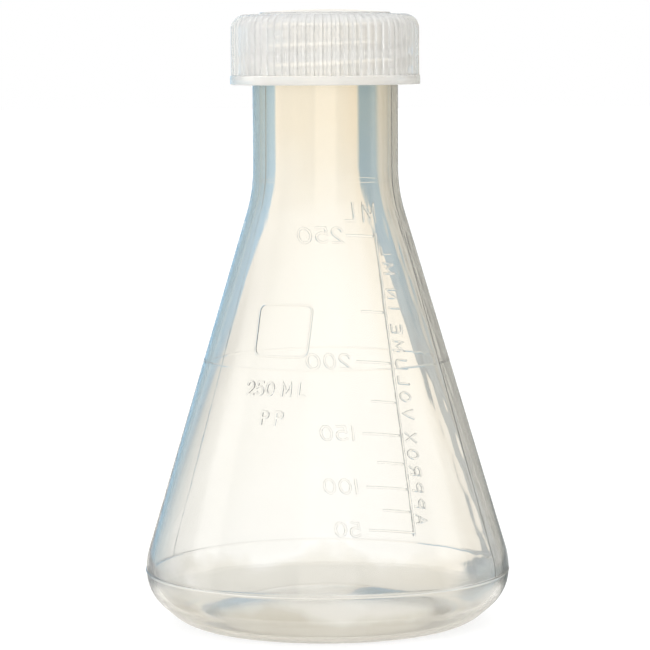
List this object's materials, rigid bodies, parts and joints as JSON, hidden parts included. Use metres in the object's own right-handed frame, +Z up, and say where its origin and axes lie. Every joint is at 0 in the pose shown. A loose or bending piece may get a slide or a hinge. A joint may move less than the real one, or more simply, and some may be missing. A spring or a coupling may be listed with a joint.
{
  "type": "erlenmeyer flask",
  "caption": "Conical 250 mL laboratory flask in translucent polypropylene, graduated, with a ribbed 38 mm screw cap and a sealing liner.",
  "frame": {"origin": "centre of the ring that the flask stands on, in the plane of the table", "axes": "+Z up along the flask's axis, towards the cap; -Y is the side with the capacity mark, and the volume scale is on the +Y side"},
  "size_m": [0.083, 0.083, 0.1389],
  "materials": {
    "flask_plastic": "natural translucent polypropylene, smooth blow-moulded",
    "cap_plastic": "natural translucent polypropylene, injection-moulded",
    "liner_foam": "white faced polyethylene foam"
  },
  "bodies": {
    "flask": {"flask": "flask_plastic"},
    "cap_liner": {"cap_liner": "liner_foam"},
    "screw_cap": {"screw_cap": "cap_plastic"}
  },
  "joints": [
    {"name": "cap_lift", "type": "slide", "parent": "flask", "child": "cap_liner", "axis": [0, 0, 1], "range_m": [0, 0.01694]},
    {"name": "cap_turn", "type": "hinge", "parent": "cap_liner", "child": "screw_cap", "pos_m": [0, 0, 0.1295], "axis": [0, 0, 1], "range_deg": [0, 1440]}
  ],
  "couplings": [
    {"joint": "cap_lift", "follows": "cap_turn", "m_per_rad": 0.0006737}
  ]
}
